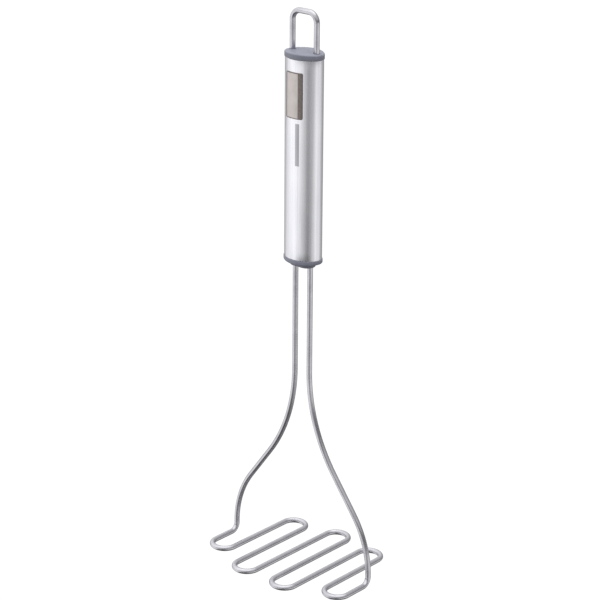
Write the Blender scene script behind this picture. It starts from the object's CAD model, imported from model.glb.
"""Wire potato masher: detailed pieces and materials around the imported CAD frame. Metres, Z up."""

import math

import bmesh
import bpy
from mathutils import Matrix, Vector


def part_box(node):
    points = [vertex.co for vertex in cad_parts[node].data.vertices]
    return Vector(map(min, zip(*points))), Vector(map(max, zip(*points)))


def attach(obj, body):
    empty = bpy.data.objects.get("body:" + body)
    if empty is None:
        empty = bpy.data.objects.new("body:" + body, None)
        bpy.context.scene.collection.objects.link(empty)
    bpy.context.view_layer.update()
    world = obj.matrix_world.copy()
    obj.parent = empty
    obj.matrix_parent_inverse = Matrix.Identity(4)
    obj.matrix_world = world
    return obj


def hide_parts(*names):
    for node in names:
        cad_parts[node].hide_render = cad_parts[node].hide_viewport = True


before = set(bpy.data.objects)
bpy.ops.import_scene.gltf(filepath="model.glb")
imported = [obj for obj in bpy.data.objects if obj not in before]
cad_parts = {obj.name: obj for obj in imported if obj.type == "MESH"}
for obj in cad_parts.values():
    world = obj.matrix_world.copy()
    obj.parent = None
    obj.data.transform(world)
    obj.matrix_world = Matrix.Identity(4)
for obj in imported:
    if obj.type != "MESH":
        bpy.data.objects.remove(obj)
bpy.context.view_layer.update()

MM = 0.001

# ---------------------------------------------------------------- sizes, from the CAD frame
wire_low, wire_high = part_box("masher_wire")
tube_low, tube_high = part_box("handle_tube")
loop_low, loop_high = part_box("hanging_loop")
top_low, top_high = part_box("top_cap")
bottom_low, bottom_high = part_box("bottom_cap")
badge_low, badge_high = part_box("badge_frame")
inlay_low, inlay_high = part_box("badge_inlay")

# The head: runs along Y, joined by half-round turns
WIRE_R = (loop_high[1] - loop_low[1]) / 2
FOOT_X = wire_high[0] - WIRE_R
RUNS = 8
PITCH = 2 * FOOT_X / (RUNS - 1)
TURN_R = PITCH / 2
# Distance of each turn's centre from the X axis, for the turns from the middle outwards
TURN_Y = {
    0: wire_high[1] - WIRE_R - TURN_R,
    1: -wire_low[1] - WIRE_R - TURN_R,
    2: 24.7 * MM,
    3: 17.1 * MM,
}

# The legs, from the head up: foot bend, lower bend, leaning straight, upper bend, shank
FOOT_BEND_R = 4.5 * MM
FOOT_RISE = 0.5 * MM
LOWER_BEND_Z = WIRE_R + FOOT_BEND_R + FOOT_RISE
LOWER_BEND_R = 54 * MM
UPPER_BEND_R = 90 * MM
SHANK_X = 5.1 * MM
LEAN = math.atan2(3, 4)
ACROSS_BENDS = (LOWER_BEND_R + UPPER_BEND_R) * (1 - math.cos(LEAN))
STRAIGHT = (FOOT_X - SHANK_X - ACROSS_BENDS) / math.sin(LEAN)
UPPER_BEND_Z = (
    LOWER_BEND_Z + (LOWER_BEND_R + UPPER_BEND_R) * math.sin(LEAN) + STRAIGHT * math.cos(LEAN)
)

# The hanging loop
LOOP_X = loop_high[0] - WIRE_R
SHOULDER_R = 5.1 * MM

# The handle's oval section: one arc round each narrow end, one over each broad face
HALF_W = tube_high[0]
HALF_T = tube_high[1]
NARROW_R = 6 * MM
NARROW_C = HALF_W - NARROW_R
BROAD_R = (NARROW_C**2 + HALF_T**2 - NARROW_R**2) / (2 * (HALF_T - NARROW_R))
BROAD_C = BROAD_R - HALF_T
SEAM = math.atan2(BROAD_C, NARROW_C)
TUBE_WALL = 0.7 * MM
TUBE_EDGE = 0.25 * MM

# The caps, and the boss round the shanks under the bottom one
CAP_PROUD = top_high[0] - HALF_W
PLUG_LEAD = 0.5 * MM
CAP_LIP = 0.15 * MM
CAP_EDGE = 0.7 * MM
DOME_R = 100 * MM
BOSS_WALL = 0.8 * MM
BOSS_R = 4.5 * MM
BOSS_C = SHANK_X + WIRE_R + BOSS_WALL - BOSS_R
BOSS_H = 2.0 * MM
BOSS_FILLET = 0.4 * MM
BOSS_EDGE = 0.45 * MM
COUNTERSINK = 0.45 * MM
HOLE_SLACK = 0.04 * MM

# The badge: heights above the steel, and how far it is sunk below it
FRAME_H = 0.35 * MM
FRAME_EDGE = 0.12 * MM
FRAME_CORNER_R = 0.8 * MM
FRAME_SET_IN = 0.02 * MM
INLAY_H = 0.2 * MM
INLAY_CORNER_R = 0.3 * MM
SUNK = 0.1 * MM

# The plain line printed below the badge. It fades out from the first to the second PRINT_BACK_Y
PRINT_X = 2.5 * MM
PRINT_Z = 238 * MM
PRINT_HALF_LENGTH = 11 * MM
PRINT_HALF_WIDTH = 1.1 * MM
PRINT_SIDE_FADE = 0.15 * MM
PRINT_END_FADE = 0.2 * MM
PRINT_BACK_Y = (-2 * MM, -1 * MM)

SMOOTH_ANGLE = math.radians(35)
UV_PER_METRE = 100


# ---------------------------------------------------------------- mesh helpers
def shade(mesh):
    """Smooth shading, except across sharp edges."""
    mesh.polygons.foreach_set("use_smooth", [True] * len(mesh.polygons))
    mesh.set_sharp_from_angle(angle=SMOOTH_ANGLE)


def finish_mesh(name, bm, material):
    """Turns bm into an object with outward normals."""
    bmesh.ops.recalc_face_normals(bm, faces=bm.faces)
    mesh = bpy.data.meshes.new(name)
    bm.to_mesh(mesh)
    bm.free()
    shade(mesh)
    mesh.materials.append(material)
    obj = bpy.data.objects.new(name, mesh)
    bpy.context.scene.collection.objects.link(obj)
    return obj


def lofted(name, rings, material, closed=False):
    """Quads between rings of equal length. If closed, the last ring joins the first. If not,
    each end is filled with a fan about its middle."""
    bm = bmesh.new()
    made = [[bm.verts.new(p) for p in ring] for ring in rings]
    pairs = list(zip(made, made[1:]))
    if closed:
        pairs.append((made[-1], made[0]))
    for low, high in pairs:
        for k in range(len(low)):
            n = (k + 1) % len(low)
            bm.faces.new((low[k], low[n], high[n], high[k]))
    if not closed:
        for ring in (made[0], made[-1]):
            middle = bm.verts.new(sum((v.co for v in ring), Vector()) / len(ring))
            for k in range(len(ring)):
                bm.faces.new((ring[k], ring[(k + 1) % len(ring)], middle))
    return finish_mesh(name, bm, material)


def sweep(name, path, material, sides=32, end_round=0.3 * MM):
    """Round wire along path. UV runs around the wire and along it, one unit per centimetre."""
    normal = Vector((0, 1, 0))
    length = 0.0
    stations = []
    for i, point in enumerate(path):
        before = path[max(i - 1, 0)]
        after = path[min(i + 1, len(path) - 1)]
        tangent = (after - before).normalized()
        normal = (normal - tangent * normal.dot(tangent)).normalized()
        length += (point - before).length
        if i == 0:
            stations.append((point, WIRE_R - end_round, tangent, normal, 0.0))
            stations.append((point + tangent * end_round, WIRE_R, tangent, normal, end_round))
        elif i == len(path) - 1:
            near_end = length - end_round
            stations.append((point - tangent * end_round, WIRE_R, tangent, normal, near_end))
            stations.append((point, WIRE_R - end_round, tangent, normal, length))
        else:
            stations.append((point, WIRE_R, tangent, normal, length))

    bm = bmesh.new()
    uv = bm.loops.layers.uv.new("UVMap")
    rings = []
    for point, radius, tangent, side, _ in stations:
        other = tangent.cross(side)
        ring = []
        for k in range(sides):
            a = 2 * math.pi * k / sides
            there = point + side * (radius * math.cos(a)) + other * (radius * math.sin(a))
            ring.append(bm.verts.new(there))
        rings.append(ring)
    around = 2 * math.pi * WIRE_R * UV_PER_METRE / sides
    for i in range(len(rings) - 1):
        low, high = rings[i], rings[i + 1]
        v0, v1 = stations[i][4] * UV_PER_METRE, stations[i + 1][4] * UV_PER_METRE
        for k in range(sides):
            n = (k + 1) % sides
            face = bm.faces.new((low[k], low[n], high[n], high[k]))
            for corner, (u, v) in zip(face.loops, ((k, v0), (k + 1, v0), (k + 1, v1), (k, v1))):
                corner[uv].uv = (u * around, v)
    bm.faces.new(rings[0])
    bm.faces.new(rings[-1])
    return finish_mesh(name, bm, material)


def arc(centre, start, axis, angle, steps):
    """Points on an arc about centre, from centre + start, turned about axis, without the first."""
    return [
        centre + Matrix.Rotation(angle * k / steps, 3, axis) @ start for k in range(1, steps + 1)
    ]


def quarter_round(radius, steps, first=0):
    """Pairs round a quarter circle: one falls from radius to 0 as the other rises to radius."""
    angles = [math.pi / 2 * k / steps for k in range(first, steps + 1)]
    return [(radius * (1 - math.sin(a)), radius * (1 - math.cos(a))) for a in angles]


def oval(inset, broad_steps=48, narrow_steps=32):
    """(x, y) points round the handle's section, inset all round, from the +X end's lower seam."""
    points = []
    for centre_x, centre_y, radius, middle, spread, steps in (
        (NARROW_C, 0.0, NARROW_R - inset, 0.0, SEAM, narrow_steps),
        (0.0, -BROAD_C, BROAD_R - inset, math.pi / 2, math.pi / 2 - SEAM, broad_steps),
        (-NARROW_C, 0.0, NARROW_R - inset, math.pi, SEAM, narrow_steps),
        (0.0, BROAD_C, BROAD_R - inset, 3 * math.pi / 2, math.pi / 2 - SEAM, broad_steps),
    ):
        for k in range(steps):
            a = middle - spread + 2 * spread * k / steps
            points.append((centre_x + radius * math.cos(a), centre_y + radius * math.sin(a)))
    return points


def stadium(points, half_length, radius):
    """The points moved along their rays from the origin onto a long round outline."""
    moved = []
    for x, y in points:
        reach = math.hypot(x, y)
        c, s = x / reach, y / reach
        if abs(s) > 1e-9 and abs(c) * radius / abs(s) <= half_length:
            t = radius / abs(s)
        else:
            along = half_length * abs(c)
            t = along + math.sqrt(along**2 - half_length**2 + radius**2)
        moved.append((c * t, s * t))
    return moved


def scaled(points, factor):
    """2-D points, their distances from the origin times factor."""
    return [(x * factor, y * factor) for x, y in points]


def blended(first, second, t):
    """2-D points a share t of the way from first to second."""
    return [
        (a[0] + (b[0] - a[0]) * t, a[1] + (b[1] - a[1]) * t) for a, b in zip(first, second)
    ]


def at_height(points, z):
    """2-D points as a ring at height z."""
    return [Vector((x, y, z)) for x, y in points]


def hole_cutter(x, z_mouth, inward, depth, material, steps=48, outside=6 * MM):
    """Passage for a wire at x, with a small countersink where it leaves the surface."""
    profile = (
        (WIRE_R + HOLE_SLACK, depth),
        (WIRE_R + HOLE_SLACK, COUNTERSINK),
        (WIRE_R + COUNTERSINK * 0.45, COUNTERSINK * 0.35),
        (WIRE_R + COUNTERSINK, 0.0),
        (WIRE_R + COUNTERSINK, -outside),
    )
    angles = [2 * math.pi * k / steps for k in range(steps)]
    rings = []
    for radius, down in profile:
        outline = [(x + radius * math.cos(a), radius * math.sin(a)) for a in angles]
        rings.append(at_height(outline, z_mouth + inward * down))
    return lofted("cutter", rings, material)


def cut(obj, *cutters):
    """Takes the cutters' shapes out of obj and removes the cutters."""
    for cutter in cutters:
        modifier = obj.modifiers.new("cut", "BOOLEAN")
        modifier.operation = "DIFFERENCE"
        modifier.solver = "EXACT"
        modifier.object = cutter
    evaluated = obj.evaluated_get(bpy.context.evaluated_depsgraph_get())
    mesh = bpy.data.meshes.new_from_object(evaluated)
    obj.modifiers.clear()
    old = obj.data
    obj.data = mesh
    bpy.data.meshes.remove(old)
    mesh.name = obj.name
    shade(mesh)
    for cutter in cutters:
        data = cutter.data
        bpy.data.objects.remove(cutter)
        bpy.data.meshes.remove(data)


# ---------------------------------------------------------------- material helpers
def add_node(tree, kind, inputs=None, **settings):
    """Adds a node. inputs maps a socket's name or number to a value or another socket."""
    made = tree.nodes.new(kind)
    for key, value in settings.items():
        setattr(made, key, value)
    for key, value in (inputs or {}).items():
        if isinstance(value, bpy.types.NodeSocket):
            tree.links.new(value, made.inputs[key])
        else:
            made.inputs[key].default_value = value
    return made


class Shader:
    """A material whose nodes are added one call at a time."""

    def __init__(self, name):
        self.material = bpy.data.materials.new(name)
        self.material.use_nodes = True
        self.tree = self.material.node_tree
        self.bsdf = self.tree.nodes["Principled BSDF"]

    def node(self, kind, inputs=None, **settings):
        return add_node(self.tree, kind, inputs, **settings)

    def set(self, **values):
        """Sets or links the main shader's sockets. An underscore stands for a space."""
        for key, value in values.items():
            socket = self.bsdf.inputs[key.replace("_", " ")]
            if isinstance(value, bpy.types.NodeSocket):
                self.tree.links.new(value, socket)
            else:
                socket.default_value = value

    def noise(self, which, scale, detail):
        """Noise, mostly from 0.3 to 0.7, over Object or UV coordinates."""
        source = self.node("ShaderNodeTexCoord").outputs[which]
        vector = self.node("ShaderNodeMapping", {"Vector": source, "Scale": scale}).outputs[0]
        inputs = {"Vector": vector, "Scale": 1.0, "Detail": detail, "Roughness": 0.55}
        return self.node("ShaderNodeTexNoise", inputs).outputs["Fac"]

    def between(self, value, low, high, from_low=0.3, from_high=0.7):
        """value, from from_low to from_high, as a number from low to high."""
        inputs = {0: value, 1: from_low, 2: from_high, 3: low, 4: high}
        return self.node("ShaderNodeMapRange", inputs).outputs[0]

    def within(self, value, middle, half, fade):
        """1 where value is no further than half from middle, falling to 0 over fade."""
        aside = self.math("ABSOLUTE", self.math("SUBTRACT", value, middle))
        return self.between(aside, 1.0, 0.0, half, half + fade)

    def mix(self, factor, first, second):
        """Colour between first and second."""
        inputs = {0: factor, 6: first, 7: second}
        return self.node("ShaderNodeMix", inputs, data_type="RGBA").outputs[2]

    def math(self, operation, *values):
        inputs = dict(enumerate(values))
        return self.node("ShaderNodeMath", inputs, operation=operation).outputs[0]

    def bump(self, height, distance, strength, below=None):
        """Normal bumped by height, on top of the normal below."""
        inputs = {"Height": height, "Distance": distance, "Strength": strength}
        if below is not None:
            inputs["Normal"] = below
        return self.node("ShaderNodeBump", inputs).outputs[0]


# ---------------------------------------------------------------- materials
def drawn_wire():
    """Drawn and polished stainless wire: fine lines along it, faint smears across it."""
    s = Shader("drawn_wire_steel")
    lines = s.noise("UV", (70, 0.9, 1), 4)
    fine = s.noise("UV", (190, 2.2, 1), 2)
    smears = s.noise("Object", (140, 140, 140), 2)
    smeared = s.between(smears, 0.0, 1.0)
    s.set(
        Base_Color=s.mix(smeared, (0.56, 0.555, 0.58, 1), (0.475, 0.47, 0.50, 1)),
        Metallic=1.0,
        Roughness=s.between(s.math("ADD", lines, smears), 0.18, 0.30, 0.7, 1.3),
        Normal=s.bump(fine, 0.003 * MM, 0.6, s.bump(lines, 0.006 * MM, 0.6)),
    )
    return s.material


def brushed_tube():
    """Satin stainless tube brushed along its length, with a plain line printed on its front."""
    s = Shader("brushed_tube_steel")
    broad = s.noise("Object", (900, 900, 7), 3)
    lines = s.noise("Object", (3200, 3200, 22), 4)
    patches = s.noise("Object", (55, 55, 30), 2)
    tone = s.between(s.math("ADD", broad, patches), 0.0, 1.0, 0.75, 1.25)
    steel = s.mix(tone, (0.80, 0.80, 0.82, 1), (0.70, 0.70, 0.735, 1))
    position = s.node("ShaderNodeTexCoord").outputs["Object"]
    x, y, z = s.node("ShaderNodeSeparateXYZ", {0: position}).outputs
    across = s.within(x, PRINT_X, PRINT_HALF_WIDTH, PRINT_SIDE_FADE)
    front = s.between(y, 1.0, 0.0, *PRINT_BACK_Y)
    along = s.within(z, PRINT_Z, PRINT_HALF_LENGTH, PRINT_END_FADE)
    printed = s.math("MULTIPLY", s.math("MULTIPLY", across, front), along)
    printed = s.math("MULTIPLY", printed, s.between(lines, 0.5, 0.75))
    s.set(
        Base_Color=s.mix(printed, steel, (0.16, 0.16, 0.175, 1)),
        Metallic=1.0,
        Roughness=s.between(s.math("ADD", lines, broad), 0.20, 0.32, 0.7, 1.3),
        Normal=s.bump(lines, 0.004 * MM, 0.7, s.bump(broad, 0.010 * MM, 0.5)),
    )
    return s.material


def cap_plastic():
    """Grey-blue moulded plastic: fine spark-eroded grain, faint flow marks, pale dust, satin."""
    s = Shader("cap_moulded_plastic")
    grain = s.noise("Object", (5200, 5200, 5200), 3)
    flow = s.noise("Object", (260, 420, 420), 3)
    dust = s.noise("Object", (1500, 1500, 1500), 2)
    colour = s.mix(s.between(flow, 0.0, 1.0), (0.178, 0.184, 0.226, 1), (0.206, 0.212, 0.258, 1))
    pale = s.between(dust, 0.0, 0.25, 0.6, 0.8)
    s.set(
        Base_Color=s.mix(pale, colour, (0.29, 0.295, 0.34, 1)),
        Roughness=s.between(grain, 0.42, 0.56),
        Specular_IOR_Level=0.4,
        Normal=s.bump(grain, 0.012 * MM, 0.7),
    )
    return s.material


def badge_bronze():
    """Dark patinated frame, worn a little lighter in patches."""
    s = Shader("badge_dark_bronze")
    patina = s.noise("Object", (900, 900, 900), 4)
    lines = s.noise("Object", (4200, 4200, 160), 2)
    worn = s.between(patina, 0.0, 1.0)
    s.set(
        Base_Color=s.mix(worn, (0.150, 0.128, 0.118, 1), (0.235, 0.205, 0.190, 1)),
        Metallic=0.6,
        Roughness=s.between(patina, 0.34, 0.5),
        Normal=s.bump(lines, 0.004 * MM, 0.6),
    )
    return s.material


def badge_satin():
    """Plain beige metal inlay with a fine satin finish."""
    s = Shader("badge_beige_satin")
    lines = s.noise("Object", (2600, 2600, 90), 3)
    tone = s.between(s.noise("Object", (320, 320, 220), 3), 0.0, 1.0)
    s.set(
        Base_Color=s.mix(tone, (0.52, 0.475, 0.45, 1), (0.60, 0.555, 0.53, 1)),
        Metallic=0.5,
        Roughness=s.between(lines, 0.36, 0.48),
        Normal=s.bump(lines, 0.004 * MM, 0.6),
    )
    return s.material


def pressed_plate():
    """Pressed steel plate: dull, with rolling marks."""
    s = Shader("pressed_plate_steel")
    rolled = s.noise("Object", (120, 1800, 1800), 4)
    spots = s.between(s.noise("Object", (700, 700, 700), 3), 0.0, 1.0)
    s.set(
        Base_Color=s.mix(spots, (0.55, 0.55, 0.56, 1), (0.42, 0.42, 0.44, 1)),
        Metallic=1.0,
        Roughness=s.between(rolled, 0.32, 0.48),
        Normal=s.bump(rolled, 0.008 * MM, 0.6),
    )
    return s.material


def floor_finish():
    """Plain white floor, lit evenly like a light table, so that no edge against it burns out."""
    s = Shader("studio_floor")
    s.set(
        Base_Color=(0, 0, 0, 1),
        Roughness=1.0,
        Specular_IOR_Level=0.0,
        Emission_Color=(1, 1, 1, 1),
        Emission_Strength=1.05,
    )
    return s.material


WIRE = drawn_wire()
TUBE = brushed_tube()
PLASTIC = cap_plastic()
BRONZE = badge_bronze()
BEIGE = badge_satin()
PLATE = pressed_plate()


# ---------------------------------------------------------------- wires
def leg_path(side):
    """Points down one leg, from its end inside the handle to the start of its run."""
    points = [Vector((SHANK_X, 0, wire_high[2])), Vector((SHANK_X, 0, UPPER_BEND_Z))]
    upper_centre = Vector((SHANK_X + UPPER_BEND_R, 0, UPPER_BEND_Z))
    points += arc(upper_centre, Vector((-UPPER_BEND_R, 0, 0)), "Y", -LEAN, 16)
    lower_centre = Vector((FOOT_X - LOWER_BEND_R, 0, LOWER_BEND_Z))
    lower_start = Vector((math.cos(LEAN), 0, math.sin(LEAN))) * LOWER_BEND_R
    points.append(lower_centre + lower_start)
    points += arc(lower_centre, lower_start, "Y", LEAN, 16)
    points.append(Vector((FOOT_X, 0, WIRE_R + FOOT_BEND_R)))
    foot_centre = Vector((FOOT_X, -FOOT_BEND_R, WIRE_R + FOOT_BEND_R))
    points += arc(foot_centre, Vector((0, FOOT_BEND_R, 0)), "X", -math.pi / 2, 20)
    return [Vector((side * p.x, p.y, p.z)) for p in points]


def masher_path():
    """The whole wire: down the -X leg, back and forth through the head, up the +X leg."""
    path = leg_path(-1)
    turn_start = Vector((-TURN_R, 0, 0))
    for i in range(RUNS - 1):
        turn_x = (i + 1 - RUNS / 2) * PITCH
        near = -1 if i % 2 == 0 else 1
        centre = Vector((turn_x, near * TURN_Y[abs(round(turn_x / PITCH))], WIRE_R))
        path.append(centre + turn_start)
        path += arc(centre, turn_start, "Z", -near * math.pi, 40)
    path += reversed(leg_path(1))
    return path


def loop_path():
    """Up one side of the hanging loop, over its two rounded shoulders and down the other."""
    top_z = loop_high[2] - WIRE_R
    shoulder_x = LOOP_X - SHOULDER_R
    shoulder_z = top_z - SHOULDER_R
    left = Vector((-shoulder_x, 0, shoulder_z))
    right = Vector((shoulder_x, 0, shoulder_z))
    path = [Vector((-LOOP_X, 0, loop_low[2])), Vector((-LOOP_X, 0, shoulder_z))]
    path += arc(left, Vector((-SHOULDER_R, 0, 0)), "Y", math.pi / 2, 24)
    path.append(Vector((shoulder_x, 0, top_z)))
    path += arc(right, Vector((0, 0, SHOULDER_R)), "Y", math.pi / 2, 24)
    path.append(Vector((LOOP_X, 0, loop_low[2])))
    return path


wire = sweep("masher_wire_drawn", masher_path(), WIRE)
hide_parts("masher_wire")

loop = sweep("hanging_loop_drawn", loop_path(), WIRE)
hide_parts("hanging_loop")


# ---------------------------------------------------------------- handle tube
def tube_rings(stretches=24):
    """Closed profile of the tube's wall: outside, rounded end, inside, rounded end."""
    low_z, high_z = tube_low[2], tube_high[2]
    edge = quarter_round(TUBE_EDGE, 4)
    profile = [(TUBE_WALL, low_z)]
    profile += [(inset, low_z + rise) for inset, rise in edge]
    for k in range(1, stretches):
        z = low_z + TUBE_EDGE + (high_z - low_z - 2 * TUBE_EDGE) * k / stretches
        profile.append((0.0, z))
    profile += [(inset, high_z - fall) for inset, fall in reversed(edge)]
    profile.append((TUBE_WALL, high_z))
    return [at_height(oval(inset), z) for inset, z in profile]


tube = lofted("handle_tube_brushed", tube_rings(), TUBE, closed=True)
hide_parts("handle_tube")


# ---------------------------------------------------------------- caps
def dome_drop(x, y):
    """How far the crown has fallen at (x, y) below its middle."""
    return DOME_R - math.sqrt(DOME_R**2 - x**2 - y**2)


def crown_ring(points, crown, up, below=0.0):
    """Ring of points on the crown, or below it. up is 1 or -1 along Z."""
    return [Vector((x, y, crown - up * (dome_drop(x, y) + below))) for x, y in points]


def cap_side_rings(plug_end, seat, crown, up):
    """Rings from the plug's end out to the start of the crown. up is 1 or -1 along Z."""
    rings = [
        at_height(oval(TUBE_WALL + PLUG_LEAD), plug_end),
        at_height(oval(TUBE_WALL), plug_end + up * PLUG_LEAD),
        at_height(oval(TUBE_WALL), seat),
        at_height(oval(-CAP_PROUD + CAP_LIP), seat),
    ]
    for inset, rise in quarter_round(CAP_LIP, 3, first=1):
        rings.append(at_height(oval(-CAP_PROUD + inset), seat + up * rise))
    for below, inset in quarter_round(CAP_EDGE, 8):
        rings.append(crown_ring(oval(-CAP_PROUD + inset), crown, up, below))
    return rings


def top_cap_rings(crown_steps=16):
    """The top cap: plug, rounded rim and domed crown."""
    rings = cap_side_rings(top_low[2], tube_high[2], top_high[2], 1)
    rim = oval(-CAP_PROUD + CAP_EDGE)
    for k in range(1, crown_steps):
        rings.append(crown_ring(scaled(rim, 1 - k / crown_steps), top_high[2], 1))
    return rings


def bottom_cap_rings(crown_steps=10, face_steps=6):
    """The bottom cap: plug, rounded rim, domed crown, and a boss with a fillet and an edge."""
    crown = bottom_low[2] + BOSS_H
    rings = cap_side_rings(bottom_high[2], tube_low[2], crown, -1)
    rim = oval(-CAP_PROUD + CAP_EDGE)
    fillet_outline = stadium(rim, BOSS_C, BOSS_R + BOSS_FILLET)
    for k in range(1, crown_steps + 1):
        rings.append(crown_ring(blended(rim, fillet_outline, k / crown_steps), crown, -1))
    for outset, proud in quarter_round(BOSS_FILLET, 5, first=1):
        outline = stadium(rim, BOSS_C, BOSS_R + outset)
        rings.append(crown_ring(outline, crown, -1, -proud))
    for rise, inset in quarter_round(BOSS_EDGE, 6):
        outline = stadium(rim, BOSS_C, BOSS_R - inset)
        rings.append(at_height(outline, bottom_low[2] + rise))
    face = stadium(rim, BOSS_C, BOSS_R - BOSS_EDGE)
    for k in range(1, face_steps):
        rings.append(at_height(scaled(face, 1 - k / face_steps), bottom_low[2]))
    return rings


def drill(cap, hole_x, z_mouth, inward, height):
    """Cuts the two wire holes right through a cap of that height."""
    holes = [hole_cutter(x, z_mouth, inward, 2 * height, PLASTIC) for x in (-hole_x, hole_x)]
    cut(cap, *holes)


top_cap = lofted("top_cap_moulded", top_cap_rings(), PLASTIC)
drill(top_cap, LOOP_X, top_high[2] - dome_drop(LOOP_X, 0), -1, top_high[2] - top_low[2])
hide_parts("top_cap")

bottom_cap = lofted("bottom_cap_moulded", bottom_cap_rings(), PLASTIC)
drill(bottom_cap, SHANK_X, bottom_low[2], 1, bottom_high[2] - bottom_low[2])
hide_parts("bottom_cap")


# ---------------------------------------------------------------- badge
def on_face(s, z, h):
    """Point on the front of the handle: s around it from the middle, h above the steel."""
    a = s / BROAD_R
    return Vector(((BROAD_R + h) * math.sin(a), BROAD_C - (BROAD_R + h) * math.cos(a), z))


def face_reach(x):
    """Distance around the front of the handle out to x."""
    return BROAD_R * math.asin(x / BROAD_R)


FRAME_S = face_reach(badge_high[0]) - FRAME_SET_IN
INLAY_S = (face_reach(inlay_low[0]), face_reach(inlay_high[0]))


def window_ring(s_low, s_high, z_low, z_high, radius, height, corner_steps=6, side_steps=12):
    """Ring round a window with rounded corners on the front of the handle."""
    corners = []
    for s, z, start in (
        (s_high - radius, z_low + radius, -math.pi / 2),
        (s_high - radius, z_high - radius, 0.0),
        (s_low + radius, z_high - radius, math.pi / 2),
        (s_low + radius, z_low + radius, math.pi),
    ):
        angles = [start + math.pi / 2 * k / corner_steps for k in range(corner_steps + 1)]
        corners.append([(s + radius * math.cos(a), z + radius * math.sin(a)) for a in angles])
    outline = []
    for corner, following in zip(corners, corners[1:] + corners[:1]):
        outline += corner
        for k in range(1, side_steps):
            outline += blended(corner[-1:], following[:1], k / side_steps)
    return [on_face(s, z, height) for s, z in outline]


def outer_ring(step, height):
    """Ring of the badge's frame, step in from its outer outline."""
    reach = FRAME_S - step
    z_low, z_high = badge_low[2] + step, badge_high[2] - step
    return window_ring(-reach, reach, z_low, z_high, FRAME_CORNER_R - step, height)


def inner_ring(step, height):
    """Ring of the badge's frame, step out from the inlay's outline."""
    s_low, s_high = INLAY_S[0] - step, INLAY_S[1] + step
    z_low, z_high = inlay_low[2] - step, inlay_high[2] + step
    return window_ring(s_low, s_high, z_low, z_high, INLAY_CORNER_R + step, height)


def badge_rings():
    """Closed profile of the badge's frame, from its sunk outer foot over to its inner one."""
    edge = quarter_round(FRAME_EDGE, 4)
    rings = [outer_ring(0.0, -SUNK)]
    rings += [outer_ring(step, FRAME_H - below) for below, step in edge]
    rings += [inner_ring(step, FRAME_H - below) for step, below in edge]
    rings.append(inner_ring(0.0, -SUNK))
    return rings


def inlay_sheet(bm, height, columns, rows):
    """Quads over the inlay's window, at height above the steel. Returns the grid of corners."""
    grid = []
    for i in range(columns + 1):
        s = INLAY_S[0] + (INLAY_S[1] - INLAY_S[0]) * i / columns
        column = []
        for j in range(rows + 1):
            z = inlay_low[2] + (inlay_high[2] - inlay_low[2]) * j / rows
            column.append(bm.verts.new(on_face(s, z, height)))
        grid.append(column)
    for i in range(columns):
        for j in range(rows):
            bm.faces.new((grid[i][j], grid[i + 1][j], grid[i + 1][j + 1], grid[i][j + 1]))
    return grid


def inlay_mesh(columns=24, rows=48):
    """The inlay: an upper and a lower sheet, joined all round."""
    bm = bmesh.new()
    upper = inlay_sheet(bm, INLAY_H, columns, rows)
    lower = inlay_sheet(bm, -SUNK, columns, rows)
    for i in range(columns):
        for j in (0, rows):
            bm.faces.new((upper[i][j], upper[i + 1][j], lower[i + 1][j], lower[i][j]))
    for j in range(rows):
        for i in (0, columns):
            bm.faces.new((upper[i][j], upper[i][j + 1], lower[i][j + 1], lower[i][j]))
    return bm


badge = lofted("badge_frame_rim", badge_rings(), BRONZE, closed=True)
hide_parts("badge_frame")

inlay = finish_mesh("badge_inlay_plain", inlay_mesh(), BEIGE)
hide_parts("badge_inlay")

# ---------------------------------------------------------------- bodies and slots
for piece, slot in (
    (wire, "wire_steel"),
    (loop, "wire_steel"),
    (tube, "tube_steel"),
    (top_cap, "cap_plastic"),
    (bottom_cap, "cap_plastic"),
    (badge, "badge_frame"),
    (inlay, "badge_inlay"),
):
    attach(piece, "root")
for name in ("shank_bridge", "loop_keeper"):
    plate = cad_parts[name]
    for place in plate.material_slots:
        place.material = PLATE

# ---------------------------------------------------------------- studio
FLOOR_REACH = 8.0
bm = bmesh.new()
bmesh.ops.create_grid(bm, x_segments=8, y_segments=8, size=FLOOR_REACH)
floor = finish_mesh("studio_floor", bm, floor_finish())
floor.visible_glossy = False
floor.visible_diffuse = False


# What the steel reflects, as brightness by azimuth from +X in degrees: the lit table top low
# down, the dark room past its edge, and the softboxes over it
TABLE = (
    (-180, 0.70),
    (-158, 1.08),
    (-142, 1.38),
    (-122, 1.28),
    (-100, 1.20),
    (-84, 1.05),
    (-70, 0.68),
    (-50, 0.55),
    (-30, 0.74),
    (0, 1.08),
    (40, 1.00),
    (60, 0.60),
    (85, 0.38),
    (110, 0.42),
    (152, 0.45),
    (180, 0.70),
)
HORIZON = (
    (-180, 1.10),
    (-140, 1.10),
    (-115, 0.80),
    (-90, 0.35),
    (-45, 0.20),
    (0, 0.20),
    (40, 0.25),
    (80, 0.40),
    (130, 0.70),
    (180, 1.10),
)
SOFTBOXES = (
    (-180, 1.30),
    (-135, 1.50),
    (-90, 1.20),
    (-45, 0.90),
    (0, 0.75),
    (50, 0.60),
    (100, 0.75),
    (150, 1.20),
    (180, 1.30),
)
CEILING = 1.8
BELOW = 0.25
# Where one gives way to the next, as the sine of the elevation at its start and its end
TABLE_TO_BELOW = (-0.42, -0.80)
TABLE_TO_HORIZON = (-0.12, 0.0)
HORIZON_TO_SOFTBOXES = (0.20, 0.38)
SOFTBOXES_TO_CEILING = (0.75, 0.95)
# Places on the table: azimuth, elevation, full within, gone beyond (degrees), brightness
PLACES = (
    (-58, -27, 7, 15, 0.20),
    (-85, -52, 14, 36, 0.12),
    (-160, -35, 12, 30, 1.10),
)


def grey(value):
    """Grey of that brightness, very slightly cool."""
    return (value, value, value * 1.015, 1)


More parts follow.
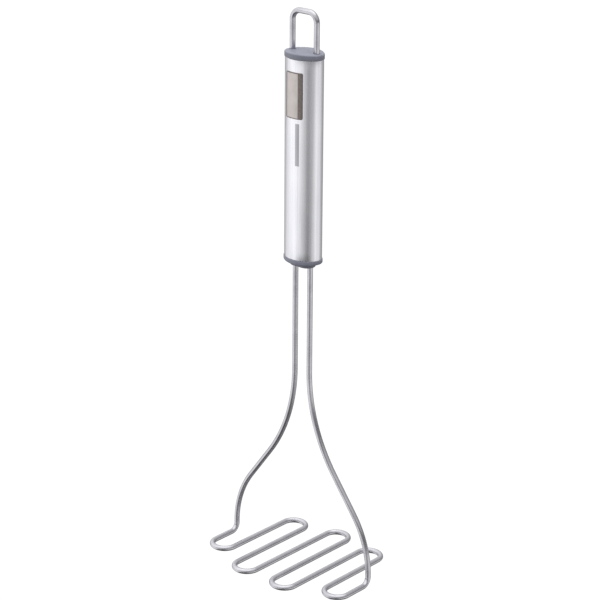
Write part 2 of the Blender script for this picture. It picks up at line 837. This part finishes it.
def studio_world():
    """Soft studio by direction: table top, horizon, softboxes, ceiling. The camera sees white."""
    world = bpy.data.worlds.new("studio")
    world.use_nodes = True
    bpy.context.scene.world = world
    tree = world.node_tree
    tree.nodes.clear()

    def node(kind, inputs=None, **settings):
        return add_node(tree, kind, inputs, **settings)

    def eased(value, start, end):
        """0 before start, 1 after end."""
        inputs = {0: value, 1: start, 2: end, 3: 0.0, 4: 1.0}
        return node("ShaderNodeMapRange", inputs, interpolation_type="SMOOTHSTEP").outputs[0]

    def mix(factor, first, second):
        """Light between first and second."""
        inputs = {0: factor, 6: first, 7: second}
        return node("ShaderNodeMix", inputs, data_type="RGBA").outputs[2]

    direction = node("ShaderNodeTexCoord").outputs["Generated"]
    x, y, height = node("ShaderNodeSeparateXYZ", {0: direction}).outputs
    azimuth = node("ShaderNodeMath", {0: y, 1: x}, operation="ARCTAN2").outputs[0]
    full_turn = {0: azimuth, 1: -math.pi, 2: math.pi, 3: 0.0, 4: 1.0}
    turn = node("ShaderNodeMapRange", full_turn).outputs[0]

    def by_azimuth(bands):
        """Light by azimuth. The first band is at -180 degrees."""
        ramp = node("ShaderNodeValToRGB", {0: turn})
        ramp.color_ramp.interpolation = "EASE"
        stops = ramp.color_ramp.elements
        while len(stops) > 1:
            stops.remove(stops[-1])
        for i, (degrees, value) in enumerate(bands):
            position = (degrees + 180) / 360
            stop = stops[0] if i == 0 else stops.new(position)
            stop.position = position
            stop.color = grey(value)
        return ramp.outputs[0]

    light = mix(eased(height, *TABLE_TO_BELOW), by_azimuth(TABLE), grey(BELOW))
    light = mix(eased(height, *TABLE_TO_HORIZON), light, by_azimuth(HORIZON))
    light = mix(eased(height, *HORIZON_TO_SOFTBOXES), light, by_azimuth(SOFTBOXES))
    light = mix(eased(height, *SOFTBOXES_TO_CEILING), light, grey(CEILING))
    for azimuth_deg, elevation_deg, full, gone, brightness in PLACES:
        a, e = math.radians(azimuth_deg), math.radians(elevation_deg)
        middle = (math.cos(e) * math.cos(a), math.cos(e) * math.sin(a), math.sin(e))
        facing = node(
            "ShaderNodeVectorMath", {0: direction, 1: middle}, operation="DOT_PRODUCT"
        ).outputs["Value"]
        near = eased(facing, math.cos(math.radians(gone)), math.cos(math.radians(full)))
        light = mix(near, light, grey(brightness))
    lit = node("ShaderNodeBackground", {0: light, 1: 1.0})
    pale = node("ShaderNodeBackground", {0: (1, 1, 1, 1), 1: 1.0})
    seen = node("ShaderNodeLightPath").outputs["Is Camera Ray"]
    both = node("ShaderNodeMixShader", {0: seen, 1: lit.outputs[0], 2: pale.outputs[0]})
    node("ShaderNodeOutputWorld", {0: both.outputs[0]})


studio_world()

overhead = bpy.data.lights.new("overhead", "SUN")
overhead.energy = 2.2
overhead.angle = math.radians(40)
lamp = bpy.data.objects.new("overhead", overhead)
lamp.visible_glossy = False
bpy.context.scene.collection.objects.link(lamp)

# ---------------------------------------------------------------- camera
CAMERA_AZIMUTH = math.radians(41.63)
CAMERA_DISTANCE = 1.0
CAMERA_HEIGHT = 0.5213
CAMERA_TILT = math.radians(20.29)
CAMERA_PAN = math.radians(0.08)
CAMERA_ROLL = math.radians(0.41)
CAMERA_PLACE = (
    CAMERA_DISTANCE * math.sin(CAMERA_AZIMUTH),
    -CAMERA_DISTANCE * math.cos(CAMERA_AZIMUTH),
    CAMERA_HEIGHT,
)
camera_data = bpy.data.cameras.new("camera")
camera_data.lens = 121.8
camera_data.sensor_width = 36.0
camera_data.clip_end = 100.0
camera = bpy.data.objects.new("camera", camera_data)
bpy.context.scene.collection.objects.link(camera)
camera.matrix_world = (
    Matrix.Translation(CAMERA_PLACE)
    @ Matrix.Rotation(CAMERA_AZIMUTH + CAMERA_PAN, 4, "Z")
    @ Matrix.Rotation(math.pi / 2 - CAMERA_TILT, 4, "X")
    @ Matrix.Rotation(CAMERA_ROLL, 4, "Z")
)
bpy.context.scene.camera = camera
bpy.context.scene.view_settings.view_transform = "Standard"
